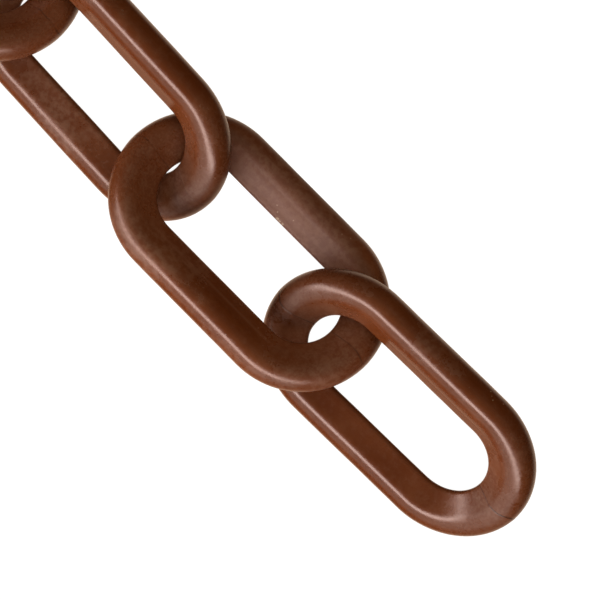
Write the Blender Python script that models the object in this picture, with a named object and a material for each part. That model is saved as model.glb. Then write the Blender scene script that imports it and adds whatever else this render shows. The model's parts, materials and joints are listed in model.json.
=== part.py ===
"""A one metre length of moulded plastic chain, laid out nearly straight on a level floor.

World frame: metres, +Z up, the floor is z = 0. The length lies along X, with link_01 at the
+X end. Every link is one closed ring of egg shaped plastic. Each is threaded through the next with
its plane leaning the other way, so that every link rests on one of its two legs.
"""
import bpy
from math import acos, radians, sin, cos, pi
from mathutils import Matrix, Vector

# ---------------------------------------------------------------- driving dimensions
LINKS = 24                  # links in the length
HALF_STRAIGHT = 0.0132      # half the straight run of a leg, metres
BEND_R = 0.0122             # centreline radius of an end bend
BEND_STEPS = 10             # steps round one end bend
# Section of the plastic, egg shaped: a fat round edge away from the eye, a slim round edge
# into it, and flat flanks between the two.
DEEP = 0.0090               # from the outer edge to the edge in the eye
FAT_R = 0.00345             # radius of the outer edge, half the thickness of the link
SLIM_R = 0.0008             # radius of the edge in the eye
FLANK = acos((SLIM_R - FAT_R) / (DEEP - FAT_R - SLIM_R))  # way the flat between the two faces
LEAN = radians(26.0)        # how far a link's plane leans from level, to either side in turn
GAP = 0.0003                # running gap left where one link pulls on the next
PLAY_TIGHT = 0.00025        # play along the chain that the crossed bends need at this lean
PLAY_MORE = 0.0009          # most play left beyond that at an ordinary joint
PLAY_FIRST = (0.0026, PLAY_TIGHT, PLAY_TIGHT)  # play at the first three joints, the first slack
SLIP_FIRST = (-4.2, -6.2, 1.2)  # how far off the mean heading those joints' bends meet, degrees
YAW_FIRST = (1.1, -0.1, -2.3)  # headings of the first three links, degrees off the X axis
YAW_WAVE = 1.4              # how far the other links' headings wander, degrees

BROWN = (0.098, 0.037, 0.019)


# ---------------------------------------------------------------- shape of one link
def support(angle):
    """Distance from the section's middle to a flat that faces this way, 0 away from the eye."""
    half = DEEP / 2
    return max((half - FAT_R) * cos(angle) + FAT_R, (SLIM_R - half) * cos(angle) + SLIM_R)


def section():
    """Corners of the twelve sided section, x away from the eye and y along the link's normal.

    Each side touches the egg shape. One of them faces straight down when the link leans.
    """
    down = pi / 2 - LEAN
    side = [0.0, down / 2, down, pi / 2, FLANK, (FLANK + pi) / 2, pi]
    angles = side + [2 * pi - a for a in side[-2:0:-1]]
    corners = []
    for i, p in enumerate(angles):
        q = angles[(i + 1) % len(angles)]
        hp, hq, d = support(p), support(q), sin(q - p)
        corners.append(((hp * sin(q) - hq * sin(p)) / d, (hq * cos(p) - hp * cos(q)) / d))
    return corners


def centreline():
    """The closed centreline of a link, in its own XY plane and centred on its origin."""
    pts = []
    for end in (0, 1):
        cx = HALF_STRAIGHT if end == 0 else -HALF_STRAIGHT
        for k in range(BEND_STEPS + 1):
            t = -pi / 2 + pi * k / BEND_STEPS + pi * end
            pts.append((cx + BEND_R * cos(t), BEND_R * sin(t)))
    return pts


def closed_curve(name, points, dimensions):
    """A closed straight-sided spline through the points, as a curve object."""
    data = bpy.data.curves.new(name, "CURVE")
    data.dimensions = dimensions
    spline = data.splines.new("POLY")
    spline.points.add(len(points) - 1)
    for p, (x, y) in zip(spline.points, points):
        p.co = (x, y, 0.0, 1.0)
    spline.use_cyclic_u = True
    ob = bpy.data.objects.new(name, data)
    bpy.context.scene.collection.objects.link(ob)
    return ob


def link_mesh():
    """The section swept round the centreline by a bevelled curve, kept as a mesh."""
    prof = closed_curve("link_section", section()[::-1], "2D")
    path = closed_curve("link_path", centreline(), "3D")
    path.data.twist_mode = "Z_UP"
    path.data.bevel_mode = "OBJECT"
    path.data.bevel_object = prof
    deps = bpy.context.evaluated_depsgraph_get()
    mesh = bpy.data.meshes.new_from_object(path.evaluated_get(deps))
    mesh.materials.clear()
    for ob in (path, prof):
        data = ob.data
        bpy.data.objects.remove(ob, do_unlink=True)
        bpy.data.curves.remove(data)
    return mesh


def plastic(name, shade):
    """Brown semi-gloss plastic, a shade lighter or darker from link to link."""
    mat = bpy.data.materials.new(name)
    mat.use_nodes = True
    bsdf = mat.node_tree.nodes["Principled BSDF"]
    bsdf.inputs["Base Color"].default_value = [c * shade for c in BROWN] + [1.0]
    bsdf.inputs["Roughness"].default_value = 0.34
    bsdf.inputs["Metallic"].default_value = 0.0
    return mat


# ---------------------------------------------------------------- how the links lie
def yaw(i):
    """Heading of a link, 0 for the first."""
    if i < len(YAW_FIRST):
        return radians(YAW_FIRST[i])
    return radians(YAW_WAVE * sin(2.3 * i + 0.6))


def play(i):
    """Play along the chain between a link and the next, 0 for the first joint."""
    if i < len(PLAY_FIRST):
        return PLAY_FIRST[i]
    return PLAY_TIGHT + PLAY_MORE * (0.5 - 0.5 * cos(1.9 * (i - 1)))


def layout():
    """Where each link lies: its centre, its turn, and the middle of its far end bend."""
    height = BEND_R * sin(LEAN) + support(pi / 2 - LEAN)   # the low leg's flat is on the floor
    places = []
    centre, before = Vector((0.0, 0.0, height)), None
    for i in range(LINKS):
        along = Vector((cos(yaw(i)), sin(yaw(i)), 0.0))
        if before is not None:
            slip = radians(SLIP_FIRST[i - 1]) if i <= len(SLIP_FIRST) else 0.0
            pull = Matrix.Rotation(slip, 3, "Z") @ (before + along).normalized()
            reach = 2 * BEND_R - DEEP - GAP - play(i - 1)
            centre = centre - before * HALF_STRAIGHT - pull * reach - along * HALF_STRAIGHT
        lean = LEAN if i % 2 == 0 else -LEAN
        turn = Matrix.Rotation(yaw(i), 4, "Z") @ Matrix.Rotation(lean, 4, "X")
        places.append((centre.copy(), turn, centre - along * HALF_STRAIGHT))
        before = along
    shift = Vector(((places[0][0].x + places[-1][0].x) / 2,
                    (places[0][0].y + places[-1][0].y) / 2, 0.0))
    return [(c - shift, m, e - shift) for c, m, e in places]


# ---------------------------------------------------------------- clear and build
for ob in list(bpy.data.objects):
    bpy.data.objects.remove(ob, do_unlink=True)

scene = bpy.context.scene
scene.unit_settings.system = "METRIC"
coll = bpy.data.collections.new("plastic_chain")
scene.collection.children.link(coll)

pattern = link_mesh()
places = layout()
for i, (centre, turn, far_bend) in enumerate(places):
    # the first link turns about nothing, and each of the rest rides round the far end bend of
    # the link before it, so its origin is the middle of that bend
    origin = centre if i == 0 else places[i - 1][2]
    name = f"link_{i + 1:02d}"
    mesh = pattern.copy()
    mesh.name = name
    frame = Matrix.Translation(origin) @ turn
    mesh.transform(frame.inverted() @ Matrix.Translation(centre) @ turn)
    mesh.materials.append(plastic(f"brown_plastic_{i + 1:02d}", 1.0 + 0.05 * sin(1.7 * i + 0.9)))
    ob = bpy.data.objects.new(name, mesh)
    coll.objects.link(ob)
    ob.matrix_world = frame
    ob.select_set(True)
    bpy.context.view_layer.objects.active = ob
    bpy.ops.object.shade_smooth()
    mesh.set_sharp_from_angle(angle=radians(40.0))
    ob.select_set(False)
bpy.data.meshes.remove(pattern)

# centre the whole length over the world origin
ends = [ob.matrix_world @ v.co for ob in coll.objects for v in ob.data.vertices]
middle = Vector(((min(p.x for p in ends) + max(p.x for p in ends)) / 2,
                 (min(p.y for p in ends) + max(p.y for p in ends)) / 2, 0.0))
for ob in coll.objects:
    ob.matrix_world = Matrix.Translation(-middle) @ ob.matrix_world
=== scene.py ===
import json
from math import acos, cos, pi, radians, sin

import bpy
import numpy as np
from mathutils import Matrix, Vector


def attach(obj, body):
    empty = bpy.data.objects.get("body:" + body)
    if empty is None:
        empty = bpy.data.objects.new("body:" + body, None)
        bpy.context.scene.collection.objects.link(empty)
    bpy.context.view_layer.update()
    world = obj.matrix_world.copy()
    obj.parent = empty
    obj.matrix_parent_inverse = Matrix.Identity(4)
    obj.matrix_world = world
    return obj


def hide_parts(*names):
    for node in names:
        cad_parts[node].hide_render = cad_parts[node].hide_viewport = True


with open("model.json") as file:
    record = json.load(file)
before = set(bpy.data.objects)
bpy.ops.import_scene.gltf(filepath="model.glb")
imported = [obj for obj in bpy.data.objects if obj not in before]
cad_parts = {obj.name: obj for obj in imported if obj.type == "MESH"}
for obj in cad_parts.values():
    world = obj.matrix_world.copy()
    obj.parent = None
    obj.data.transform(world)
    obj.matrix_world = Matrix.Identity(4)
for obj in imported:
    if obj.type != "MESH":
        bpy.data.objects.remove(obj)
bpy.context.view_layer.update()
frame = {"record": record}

# The chain's own rule, as in its source: metres, links numbered from the free end.
LINKS = 24
HALF_STRAIGHT = 0.0132
BEND_R = 0.0122
DEEP = 0.0090
FAT_R = 0.00345
SLIM_R = 0.0008
FLANK = acos((SLIM_R - FAT_R) / (DEEP - FAT_R - SLIM_R))
LEAN = radians(26.0)
GAP = 0.0003
PLAY_TIGHT = 0.00025
PLAY_MORE = 0.0009
PLAY_FIRST = (0.0026, PLAY_TIGHT, PLAY_TIGHT)
SLIP_FIRST = (-4.2, -6.2, 1.2)
YAW_FIRST = (1.1, -0.1, -2.3)
YAW_WAVE = 1.4

LEG = 2 * HALF_STRAIGHT
BEND = pi * BEND_R
LOOP = 2 * LEG + 2 * BEND


def support(angle):
    """How far the section reaches from the middle of its depth, that many radians round from the outer edge."""
    half = DEEP / 2
    return max((half - FAT_R) * cos(angle) + FAT_R, (SLIM_R - half) * cos(angle) + SLIM_R)


def yaw(i):
    return radians(YAW_FIRST[i]) if i < len(YAW_FIRST) else radians(YAW_WAVE * sin(2.3 * i + 0.6))


def play(i):
    return PLAY_FIRST[i] if i < len(PLAY_FIRST) else PLAY_TIGHT + PLAY_MORE * (0.5 - 0.5 * cos(1.9 * (i - 1)))


def layout():
    """Each link's centre and turn, link_01 over the origin."""
    centre = Vector((0.0, 0.0, BEND_R * sin(LEAN) + support(pi / 2 - LEAN)))
    places, before = [], None
    for i in range(LINKS):
        along = Vector((cos(yaw(i)), sin(yaw(i)), 0.0))
        if before is not None:
            slip = radians(SLIP_FIRST[i - 1]) if i <= len(SLIP_FIRST) else 0.0
            pull = Matrix.Rotation(slip, 3, "Z") @ (before + along).normalized()
            reach = 2 * BEND_R - DEEP - GAP - play(i - 1)
            centre = centre - before * HALF_STRAIGHT - pull * reach - along * HALF_STRAIGHT
        lean = LEAN if i % 2 == 0 else -LEAN
        turn = Matrix.Rotation(yaw(i), 4, "Z") @ Matrix.Rotation(lean, 4, "X")
        places.append((centre.copy(), turn))
        before = along
    return places


places = layout()
# the first swing's axis passes through link_01's far bend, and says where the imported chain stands
first = next(j for j in frame["record"]["behaviour"]["joints"] if j["name"] == "link_02_swing")
bend_01 = places[0][0] - Vector((cos(yaw(0)), sin(yaw(0)), 0.0)) * HALF_STRAIGHT
offset = Vector(first["pos_m"]) - bend_01


# ---------------------------------------------------------------- the link's skin

LINE_AT = 0.345     # a fine mould line runs along each flank, this share of the way down it


def ring_points():
    """The section, smooth: x away from the eye, y along the link's normal, and the way the skin faces."""
    fat_x, slim_x = DEEP / 2 - FAT_R, SLIM_R - DEEP / 2
    pts = []
    for k in range(37):
        a = -FLANK + 2 * FLANK * k / 36
        pts.append((fat_x + FAT_R * cos(a), FAT_R * sin(a), a))
    start = (fat_x + FAT_R * cos(FLANK), FAT_R * sin(FLANK))
    stop = (slim_x + SLIM_R * cos(FLANK), SLIM_R * sin(FLANK))
    flat = [(start[0] + (stop[0] - start[0]) * f, start[1] + (stop[1] - start[1]) * f)
            for f in (0.10, 0.20, 0.28, LINE_AT - 0.025, LINE_AT, LINE_AT + 0.025, 0.41, 0.52, 0.64, 0.77, 0.89)]
    pts += [(x, y, FLANK) for x, y in flat]
    for k in range(9):
        a = FLANK + (2 * pi - 2 * FLANK) * k / 8
        pts.append((slim_x + SLIM_R * cos(a), SLIM_R * sin(a), a))
    pts += [(x, -y, 2 * pi - FLANK) for x, y in flat[::-1]]
    return np.array(pts)


RING = ring_points()


def stations():
    """Places along the loop, close together at the knit line in the middle of each bend."""
    s = []
    fine = [-1.6, -0.75, -0.34, -0.16, -0.07, 0.0, 0.07, 0.16, 0.34, 0.75, 1.6]
    for half in (0, 1):
        base = half * (LEG + BEND)
        s += [base + LEG * k / 22 for k in range(22)]
        mid = base + LEG + BEND / 2
        side = [base + LEG + (BEND / 2 - 0.0024) * k / 21 for k in range(22)]
        s += side
        s += [mid + f * 0.001 for f in fine]
        s += [2 * mid - x for x in side[:0:-1]]
    return np.array(s)


def path(s):
    """Centre line at distance s: position and the direction away from the eye, in the link's plane."""
    s = np.mod(s, LOOP)
    far = s >= LEG + BEND
    t = np.where(far, s - LEG - BEND, s)
    on_leg = t < LEG
    angle = np.where(on_leg, -pi / 2, -pi / 2 + (t - LEG) / BEND_R)
    x = np.where(on_leg, t - HALF_STRAIGHT, HALF_STRAIGHT + BEND_R * np.cos(angle))
    y = np.where(on_leg, -BEND_R, BEND_R * np.sin(angle))
    ox, oy = np.cos(angle), np.sin(angle)
    sign = np.where(far, -1.0, 1.0)
    return x * sign, y * sign, ox * sign, oy * sign


def smooth(x, a, b):
    t = np.clip((x - a) / (b - a), 0.0, 1.0)
    return t * t * (3 - 2 * t)


def wave(seed, s, a, freq_s, freq_a, rng):
    """A soft unevenness that closes on itself along the loop and round the section."""
    total = np.zeros(np.broadcast(s, a).shape)
    for _ in range(5):
        m = rng.integers(1, freq_s + 1)
        n = rng.integers(0, freq_a + 1)
        total += rng.uniform(0.4, 1.0) * np.sin(2 * pi * m * s / LOOP + n * a + rng.uniform(0, 2 * pi))
    return total / 3.0


def link_mesh(i, groove_shade_glint, nicks=()):
    rng = np.random.default_rng(4100 + i)
    S = stations()
    n_s, n_r = len(S), len(RING)
    s = np.repeat(S[:, None], n_r, axis=1)
    angle = np.repeat(RING[None, :, 2], n_s, axis=0)
    angle_signed = (angle + pi) % (2 * pi) - pi
    seam = np.full(s.shape, 1.0)
    # the knit line wanders a little, so the rings beside it wander with it
    for half in (0, 1):
        mid = half * (LEG + BEND) + LEG + BEND / 2
        a0, a1, a2 = rng.uniform(0, 2 * pi, 3)
        wander = (0.00030 * np.sin(angle + a0) + 0.00022 * np.sin(2 * angle + a1) + 0.00008 * np.sin(5 * angle + a2)
                  + rng.uniform(-0.0005, 0.0005))
        away = s - mid
        seam = np.where(np.abs(away) < np.abs(seam), away, seam)
        s = s + wander * (1 - smooth(np.abs(away), 0.0004, 0.0050))
    x, y, ox, oy = path(s)
    qx, qy = RING[None, :, 0], RING[None, :, 1]

    # unevenness, in metres along the skin's normal
    lift = 0.000030 * wave(i, s, angle, 7, 2, rng)
    lift += 0.000012 * wave(i, s, angle, 22, 3, rng)
    # the flat flanks sink slightly as the plastic shrinks
    top = DEEP / 2 - FAT_R + FAT_R * cos(FLANK)
    foot = SLIM_R - DEEP / 2 + SLIM_R * cos(FLANK)
    down = np.clip((top - qx) / (top - foot), 0.0, 1.0)
    lift -= 0.000014 * np.sin(pi * down) ** 2 * (np.abs(qy) > 0.0006)
    # the mould line on each flank, a fine groove
    deep = 0.000016 * np.where(y > 0, max(groove_shade_glint[0], 0.0), max(groove_shade_glint[1], 0.0)) / 0.75
    lift -= deep * np.exp(-((down - LINE_AT) / 0.030) ** 2) * (1 - smooth(np.abs(x), 0.011, 0.019))
    # the knit line: a hairline groove with a slight step across it
    lift -= 0.000022 * np.exp(-(seam / 0.00010) ** 2)
    step = rng.uniform(-1, 1, 2)
    side = np.where(x > 0, step[0], step[1])
    lift += 0.000016 * side * np.sign(seam) * np.exp(-np.abs(seam) / 0.0018) * (np.abs(seam) < 0.02)
    lift += 0.000018 * np.exp(-(seam / 0.0011) ** 2)

    nx, ny = np.cos(angle), np.sin(angle)
    px = qx + nx * lift
    py = qy + ny * lift
    vx = x + ox * px
    vy = y + oy * px
    vz = py + np.zeros_like(vx)
    co = np.stack([vx, vy, vz], axis=-1).reshape(-1, 3)
    for at, reach, depth in nicks:
        d = np.linalg.norm(co - np.array(at), axis=1)
        inward = np.stack([ox * nx, oy * nx, ny + np.zeros_like(ox)], axis=-1).reshape(-1, 3)
        co -= inward * (depth * np.exp(-(d / reach) ** 2))[:, None]

    verts = co.astype(np.float32)
    j = np.arange(n_s)[:, None] * n_r
    j2 = (np.arange(n_s)[:, None] + 1) % n_s * n_r
    k = np.arange(n_r)[None, :]
    k2 = (k + 1) % n_r
    quads = np.stack([j + k, j2 + k, j2 + k2, j + k2], axis=-1).reshape(-1, 4)

    mesh = bpy.data.meshes.new(f"skin_{i + 1:02d}")
    mesh.vertices.add(len(verts))
    mesh.vertices.foreach_set("co", verts.ravel())
    mesh.loops.add(len(quads) * 4)
    mesh.loops.foreach_set("vertex_index", quads.astype(np.int32).ravel())
    mesh.polygons.add(len(quads))
    mesh.polygons.foreach_set("loop_start", np.arange(0, len(quads) * 4, 4, dtype=np.int32))
    mesh.polygons.foreach_set("loop_total", np.full(len(quads), 4, dtype=np.int32))
    mesh.update(calc_edges=True)
    mesh.validate()
    mesh.polygons.foreach_set("use_smooth", np.ones(len(quads), dtype=bool))

    # where a point lies round the section and along the loop, for streaks that follow the bends
    turn = 2 * pi * s / LOOP
    ring = np.stack([px, py + 0 * px, np.cos(turn) * LOOP / (2 * pi)], axis=-1).reshape(-1, 3)
    at = mesh.attributes.new("ring", "FLOAT_VECTOR", "POINT")
    at.data.foreach_set("vector", ring.astype(np.float32).ravel())
    at = mesh.attributes.new("turn", "FLOAT", "POINT")
    at.data.foreach_set("value", (np.sin(turn) * LOOP / (2 * pi)).astype(np.float32).ravel())
    at = mesh.attributes.new("down", "FLOAT", "POINT")
    at.data.foreach_set("value", np.repeat(down, n_s, axis=0).astype(np.float32).ravel())
    at = mesh.attributes.new("seam", "FLOAT", "POINT")
    at.data.foreach_set("value", (seam * 1000).astype(np.float32).ravel())
    mesh.update()
    return mesh


# ---------------------------------------------------------------- the plastic

class Nodes:
    """Short hand for wiring a material."""

    def __init__(self, tree):
        self.tree = tree

    def add(self, kind, **props):
        n = self.tree.nodes.new(kind)
        for k, v in props.items():
            setattr(n, k, v)
        return n

    def put(self, socket, value):
        if hasattr(value, "is_output"):
            self.tree.links.new(value, socket)
        else:
            socket.default_value = value

    def math(self, op, a, b=0.0, c=0.0, clamp=False):
        n = self.add("ShaderNodeMath", operation=op, use_clamp=clamp)
        self.put(n.inputs[0], a)
        self.put(n.inputs[1], b)
        self.put(n.inputs[2], c)
        return n.outputs[0]

    def vmath(self, op, a, b=(0.0, 0.0, 0.0)):
        n = self.add("ShaderNodeVectorMath", operation=op)
        self.put(n.inputs[0], a)
        self.put(n.inputs[1], b)
        return n.outputs["Value"] if op in ("DISTANCE", "LENGTH", "DOT_PRODUCT") else n.outputs[0]

    def noise(self, vector, scale, detail=2.0, rough=0.5, w=None, distortion=0.0):
        n = self.add("ShaderNodeTexNoise", noise_dimensions="3D" if w is None else "4D")
        self.put(n.inputs["Vector"], vector)
        if w is not None:
            self.put(n.inputs["W"], w)
        n.inputs["Scale"].default_value = scale
        n.inputs["Detail"].default_value = detail
        n.inputs["Roughness"].default_value = rough
        n.inputs["Distortion"].default_value = distortion
        return n.outputs["Fac"]

    def ramp(self, value, lo, hi, out_lo=0.0, out_hi=1.0, kind="SMOOTHSTEP"):
        n = self.add("ShaderNodeMapRange", interpolation_type=kind)
        self.put(n.inputs["Value"], value)
        for name, v in zip(("From Min", "From Max", "To Min", "To Max"), (lo, hi, out_lo, out_hi)):
            n.inputs[name].default_value = v
        return n.outputs["Result"]

    def mix(self, fac, a, b, blend="MIX"):
        n = self.add("ShaderNodeMix", data_type="RGBA", blend_type=blend)
        self.put(n.inputs["Factor"], fac)
        self.put([x for x in n.inputs if x.name == "A" and x.type == "RGBA"][0], a)
        self.put([x for x in n.inputs if x.name == "B" and x.type == "RGBA"][0], b)
        return [x for x in n.outputs if x.type == "RGBA"][0]


def plastic(i, shade=1.0, marks=(), scuffs=(), groove_shade_glint=(0.35, 0.25), knit=0.6):
    """Glossy chocolate brown moulded plastic: cloudy pigment, flow streaks along the bar, a dusty bloom where the bends
    are worn matt, hairline knit lines, painted shade darkening the flank mould lines on most legs and a painted glint
    beside the line on others.
    """
    rng = np.random.default_rng(900 + i)
    m = bpy.data.materials.new(f"brown_plastic_{i + 1:02d}")
    m.use_nodes = True
    tree = m.node_tree
    tree.nodes.clear()
    g = Nodes(tree)
    out = g.add("ShaderNodeOutputMaterial")
    skin = g.add("ShaderNodeBsdfPrincipled")
    tree.links.new(skin.outputs[0], out.inputs[0])

    where = g.add("ShaderNodeTexCoord").outputs["Object"]
    moved = g.vmath("ADD", where, tuple(float(v) for v in rng.uniform(-1, 1, 3)))
    ring = g.add("ShaderNodeAttribute", attribute_name="ring").outputs["Vector"]
    turn = g.add("ShaderNodeAttribute", attribute_name="turn").outputs["Fac"]
    seam = g.add("ShaderNodeAttribute", attribute_name="seam").outputs["Fac"]
    down = g.add("ShaderNodeAttribute", attribute_name="down").outputs["Fac"]
    split = g.add("ShaderNodeSeparateXYZ")
    g.put(split.inputs[0], where)
    x_abs = g.math("ABSOLUTE", split.outputs[0])

    # flow streaks, thin across the bar and long along it
    lines = g.noise(g.vmath("MULTIPLY", ring, (2100.0, 2100.0, 45.0)), 1.0, 3.0, 0.6,
                    w=g.math("MULTIPLY_ADD", turn, 45.0, float(rng.uniform(0, 40))))
    broad = g.noise(g.vmath("MULTIPLY", ring, (520.0, 520.0, 28.0)), 1.0, 2.0, 0.5,
                    w=g.math("MULTIPLY_ADD", turn, 28.0, float(rng.uniform(0, 40))))
    cloud = g.noise(moved, 120.0, 4.0, 0.55)
    mottle = g.noise(moved, 900.0, 5.0, 0.62)
    grain = g.noise(moved, 4200.0, 2.0, 0.6)
    crumb = g.noise(moved, 2300.0, 1.0, 0.5)

    # the bends are rubbed matt where the next link sits and turns
    bend = g.ramp(x_abs, 0.0125, 0.0230)
    patch = g.ramp(g.noise(moved, 260.0, 4.0, 0.6), 0.34, 0.66)
    bloom = g.math("MULTIPLY", bend, g.math("MULTIPLY_ADD", patch, 0.55, 0.45))
    bloom = g.math("MULTIPLY", bloom, g.ramp(down, 0.0, 0.25, 0.60, 1.0))
    # and here and there a leg carries a haze of fine scratches
    haze = g.ramp(g.noise(moved, 55.0, 3.0, 0.55), 0.42, 0.66)
    rub = 0.0
    for at, reach, amount in scuffs:
        near = g.vmath("LENGTH", g.vmath("MULTIPLY", g.vmath("SUBTRACT", where, at), (0.45, 1.0, 1.0)))
        near = g.ramp(g.math("MULTIPLY_ADD", g.math("SUBTRACT", cloud, 0.5), 0.004, near), reach * 0.45, reach, 1.0, 0.0)
        if amount > 0:
            haze = g.math("MAXIMUM", haze, g.math("MULTIPLY", near, amount))
            rub = g.math("MULTIPLY_ADD", near, g.ramp(broad, 0.30, 0.62, 0.36, 0.20), rub)
        else:
            # a negative amount clears haze and bloom here, leaving that part of the link darker
            haze = g.math("MULTIPLY", haze, g.math("MULTIPLY_ADD", near, amount, 1.0))
            bloom = g.math("MULTIPLY", bloom, g.math("MULTIPLY_ADD", near, amount * 0.5, 1.0))

    deep = (0.104 * shade, 0.0230 * shade, 0.0046 * shade, 1.0)
    fair = (0.136 * shade, 0.0370 * shade, 0.0115 * shade, 1.0)
    dusty = (0.178 * shade, 0.0740 * shade, 0.0420 * shade, 1.0)
    colour = g.mix(g.ramp(cloud, 0.40, 0.78), deep, fair)
    colour = g.mix(g.math("MULTIPLY", g.ramp(lines, 0.40, 0.75), 0.35), colour, fair)
    colour = g.mix(g.math("MULTIPLY", g.ramp(broad, 0.35, 0.70), 0.25), colour, deep)
    colour = g.mix(g.math("MULTIPLY", g.ramp(mottle, 0.45, 0.75), 0.15), colour, dusty)
    colour = g.mix(g.math("MULTIPLY", bloom, g.ramp(grain, 0.30, 0.70, 0.06, 0.24)), colour, dusty)
    colour = g.mix(g.math("MULTIPLY", bloom, g.ramp(crumb, 0.42, 0.68, 0.0, 0.75)), colour, dusty)
    colour = g.mix(g.ramp(crumb, 0.30, 0.46, 0.35, 0.0), colour, deep)
    colour = g.mix(g.math("MULTIPLY", haze, g.ramp(mottle, 0.38, 0.62, 0.05, 0.62)), colour, dusty)

    # stray pale specks, dust caught in the skin
    cells = g.add("ShaderNodeTexVoronoi", feature="F1")
    g.put(cells.inputs["Vector"], moved)
    cells.inputs["Scale"].default_value = 620.0
    pick = g.add("ShaderNodeSeparateColor")
    g.put(pick.inputs[0], cells.outputs["Color"])
    speck = g.math("MULTIPLY", g.ramp(cells.outputs["Distance"], 0.05, 0.12, 1.0, 0.0),
                   g.ramp(pick.outputs[0], 0.955, 0.965))
    colour = g.mix(g.math("MULTIPLY", speck, 0.5), colour, (0.33, 0.20, 0.15, 1.0))

    # the mould line on each flank of the straight legs: a positive amount paints shade into the groove, a negative one
    # paints a pale glint along its edge
    line = g.ramp(g.math("ABSOLUTE", g.math("SUBTRACT", down, LINE_AT)), 0.006, 0.034, 1.0, 0.0)
    glint_band = g.ramp(g.math("ABSOLUTE", g.math("SUBTRACT", down, LINE_AT + 0.03)), 0.0, 0.15, 1.0, 0.0)
    straight = g.ramp(x_abs, 0.0110, 0.0190, 1.0, 0.0)
    broken = g.ramp(broad, 0.30, 0.60, 0.4, 1.0)
    for amount, far_side in zip(groove_shade_glint, (0.0015, -0.0015)):
        # dark: painted shade in the groove; pale: painted glint on the groove's edge
        shade_glint_colour = (0.040, 0.010, 0.003, 1.0) if amount > 0 else (0.200, 0.085, 0.050, 1.0)
        leg = g.ramp(split.outputs[1], 0.0, far_side) if far_side > 0 else g.ramp(split.outputs[1], far_side, 0.0, 1.0, 0.0)
        part = g.math("MULTIPLY", g.math("MULTIPLY", line if amount > 0 else glint_band, straight), broken)
        colour = g.mix(g.math("MULTIPLY", part, g.math("MULTIPLY", leg, abs(amount))), colour, shade_glint_colour)

    # the knit line is a dark hair
    hair = g.ramp(g.math("ABSOLUTE", seam), 0.06, 0.18, 1.0, 0.0)
    hair = g.math("MULTIPLY", hair, g.ramp(g.noise(moved, 330.0, 2.0), 0.40, 0.58, knit - 0.45, knit))
    colour = g.mix(hair, colour, (0.035, 0.010, 0.004, 1.0))

    pale = None
    for at, reach, ragged, strength in marks:
        d = g.vmath("DISTANCE", where, at)
        d = g.math("MULTIPLY_ADD", g.math("SUBTRACT", mottle, 0.5), ragged, d)
        one = g.ramp(d, reach * 0.55, reach, strength, 0.0)
        pale = one if pale is None else g.math("MAXIMUM", pale, one)
    if pale is not None:
        colour = g.mix(pale, colour, (0.52, 0.38, 0.27, 1.0))

    g.put(skin.inputs["Base Color"], colour)
    rough = g.math("MULTIPLY_ADD", bloom, 0.11, 0.220)
    rough = g.math("MULTIPLY_ADD", haze, 0.12, rough)
    rough = g.math("ADD", rough, g.ramp(mottle, 0.3, 0.8, -0.02, 0.05))
    if scuffs:
        rough = g.math("ADD", rough, rub)
    g.put(skin.inputs["Roughness"], rough)
    skin.inputs["IOR"].default_value = 1.50

    height = g.math("MULTIPLY", grain, 0.0000015)
    height = g.math("MULTIPLY_ADD", lines, 0.0000012, height)
    height = g.math("MULTIPLY_ADD", mottle, 0.0000045, height)
    height = g.math("MULTIPLY_ADD", speck, 0.000010, height)
    bump = g.add("ShaderNodeBump")
    bump.inputs["Strength"].default_value = 1.0
    bump.inputs["Distance"].default_value = 1.0
    g.put(bump.inputs["Height"], height)
    tree.links.new(bump.outputs[0], skin.inputs["Normal"])
    return m


# ---------------------------------------------------------------- the links

NICKS = {}
# place on the link, reach, raggedness, strength
MARKS = {
    0: (((0.01030, 0.01668, 0.00020), 0.00015, 0.0003, 0.45), ((0.01098, 0.01660, 0.00085), 0.00012, 0.0003, 0.35),
        ((0.01159, 0.01645, 0.00128), 0.00014, 0.0003, 0.40)),
    1: (((-0.00070, 0.00786, 0.00042), 0.00036, 0.0011, 0.65), ((0.00000, 0.00783, 0.00040), 0.00030, 0.0011, 0.6),
        ((0.00065, 0.00784, 0.00036), 0.00034, 0.0011, 0.6), ((-0.00150, 0.00860, 0.00105), 0.00018, 0.0008, 0.4),
        ((-0.00240, 0.00930, 0.00150), 0.00015, 0.0008, 0.35), ((0.00170, 0.00950, 0.00160), 0.00017, 0.0008, 0.35)),
}
SHADES = {0: 0.90, 1: 1.04, 2: 0.92}
# per link, for the leg at +y and the leg at -y: the mould-line groove's depth and its painted shade; a negative value
# paints a glint beside the line and cuts no groove
GROOVE_SHADE_GLINT = {0: (0.75, 0.0), 1: (0.0, -0.6), 2: (0.2, 0.0)}
KNIT = {0: 1.0}
# link_01's lower leg is kept clear of haze and bloom so it stays darker; link_02's upper leg carries a scuffed patch
SCUFFS = {
    0: (((0.0, -0.0122, 0.002), 0.017, -1.0),),
    1: (((-0.001, 0.0100, 0.002), 0.0115, 0.7),),
}

for i in range(LINKS):
    name = f"link_{i + 1:02d}"
    centre, turn = places[i]
    # other links: shallow grooves with painted shade along both legs' mould lines
    groove_shade_glint = GROOVE_SHADE_GLINT.get(i, (0.4 * abs(sin(2.1 * i)), 0.4 * abs(sin(1.3 * i + 1.0))))
    skin = bpy.data.objects.new(f"chain_{name}", link_mesh(i, groove_shade_glint, NICKS.get(i, ())))
    bpy.context.scene.collection.objects.link(skin)
    skin.matrix_world = Matrix.Translation(centre + offset) @ turn
    shade = SHADES.get(i, 1.0 + 0.07 * sin(1.7 * i + 0.9))
    skin.data.materials.append(plastic(i, shade, MARKS.get(i, ()), SCUFFS.get(i, ()), groove_shade_glint, KNIT.get(i, 0.6)))
    bpy.context.view_layer.update()
    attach(skin, name)
    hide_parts(name)


# ---------------------------------------------------------------- floor and light

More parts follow.
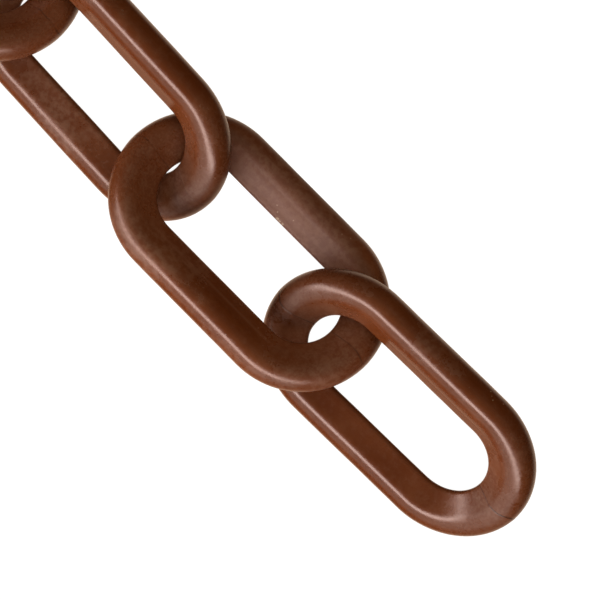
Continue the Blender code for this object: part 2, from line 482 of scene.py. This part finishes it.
def sweep_floor():
    """A round pale table top whose far rim curves up into a low backdrop."""
    profile = [(0.0, 0.0), (0.4, 0.0), (0.8, 0.0), (1.6, 0.0), (3.2, 0.0), (7.0, 0.0), (14.0, 0.0), (28.0, 0.0)]
    profile += [(28.0 + 1.5 * sin(radians(a)), 1.5 - 1.5 * cos(radians(a))) for a in range(9, 91, 9)]
    profile += [(29.5, 2.7)]
    turns = 72
    verts, faces = [(0.0, 0.0, 0.0)], []
    for r, z in profile[1:]:
        verts += [(r * cos(2 * pi * k / turns), r * sin(2 * pi * k / turns), z) for k in range(turns)]
    faces += [(0, 1 + k, 1 + (k + 1) % turns) for k in range(turns)]
    for row in range(len(profile) - 2):
        a, b = 1 + row * turns, 1 + (row + 1) * turns
        faces += [(a + k, b + k, b + (k + 1) % turns, a + (k + 1) % turns) for k in range(turns)]
    mesh = bpy.data.meshes.new("table_top")
    mesh.from_pydata(verts, [], faces)
    mesh.polygons.foreach_set("use_smooth", np.ones(len(faces), dtype=bool))
    mesh.update()
    return mesh


floor = bpy.data.objects.new("table_top", sweep_floor())
bpy.context.scene.collection.objects.link(floor)
opal = bpy.data.materials.new("opal_table")
opal.use_nodes = True
base = opal.node_tree.nodes["Principled BSDF"]
base.inputs["Base Color"].default_value = (0.10, 0.10, 0.10, 1.0)
base.inputs["Roughness"].default_value = 0.9
base.inputs["Specular IOR Level"].default_value = 0.0
base.inputs["Emission Color"].default_value = (1.0, 1.0, 1.0, 1.0)
base.inputs["Emission Strength"].default_value = 1.0
floor.data.materials.append(opal)
# the white of the table would wash out the plastic's dark sides, so they reflect the dim room instead
floor.visible_glossy = False
floor.visible_diffuse = False

scene = bpy.context.scene
scene.view_settings.view_transform = "Standard"
scene.view_settings.look = "None"

# a dim warm room: darker overhead than below
world = bpy.data.worlds.new("studio")
world.use_nodes = True
room = Nodes(world.node_tree)
background = world.node_tree.nodes["Background"]
upward = room.add("ShaderNodeSeparateXYZ")
room.put(upward.inputs[0], room.add("ShaderNodeTexCoord").outputs["Generated"])
room.put(background.inputs[0], room.mix(room.ramp(upward.outputs[2], -0.85, -0.40),
                                        (1.00, 0.70, 0.50, 1.0), (0.025, 0.020, 0.016, 1.0)))
background.inputs[1].default_value = 1.0
scene.world = world

AIM = Vector((-0.025904, 0.000862, 0.010)) + Vector((offset.x, offset.y, 0.0))


def panel(name, tilt, distance, wide, long, radiance, colour, gloss=True, fill=True):
    """A soft panel along the chain, tilt degrees off the vertical toward its near side, for gloss, for fill or for both."""
    data = bpy.data.lights.new(name, "AREA")
    data.shape = "RECTANGLE"
    data.size, data.size_y = long, wide
    data.energy = radiance * 4.0 * wide * long
    data.color = colour
    lamp = bpy.data.objects.new(name, data)
    scene.collection.objects.link(lamp)
    back = Vector((0.0, -sin(radians(tilt)), cos(radians(tilt))))
    lamp.matrix_world = Matrix.Translation(AIM + back * distance) @ Matrix.Rotation(radians(tilt), 4, "X")
    lamp.visible_camera = False
    lamp.visible_glossy = gloss
    lamp.visible_diffuse = fill
    return lamp


panel("strip", 36.0, 1.2, 0.31, 3.0, 9.5, (1.0, 0.80, 0.73), fill=False)
panel("side_box", 68.0, 1.6, 0.9, 3.0, 0.55, (1.0, 0.84, 0.73))
panel("near_fill", 70.0, 1.2, 1.2, 3.0, 3.5, (1.0, 0.95, 0.90), gloss=False)
panel("far_fill", -20.0, 1.2, 1.2, 3.0, 0.95, (1.0, 0.88, 0.62), gloss=False)

# ---------------------------------------------------------------- camera

DISTANCE = 0.450
FOCAL_PX = 2465.5
data = bpy.data.cameras.new("camera")
data.sensor_width = 36.0
data.lens = FOCAL_PX / 600.0 * 36.0
data.clip_start, data.clip_end = 0.01, 60.0
camera = bpy.data.objects.new("camera", data)
scene.collection.objects.link(camera)
heading = radians(45.3)
axes = Matrix((
    (cos(heading), -sin(heading), 0.0),
    (sin(heading), cos(heading), 0.0),
    (0.0, 0.0, 1.0),
))
bow = Vector((radians(-11.673), radians(2.093), radians(-0.369)))
swing = Matrix.Rotation(bow.length, 3, bow.normalized())
facing = swing @ axes
camera.matrix_world = Matrix.Translation(AIM + facing.col[2] * DISTANCE) @ facing.to_4x4()
scene.camera = camera

bpy.context.view_layer.update()
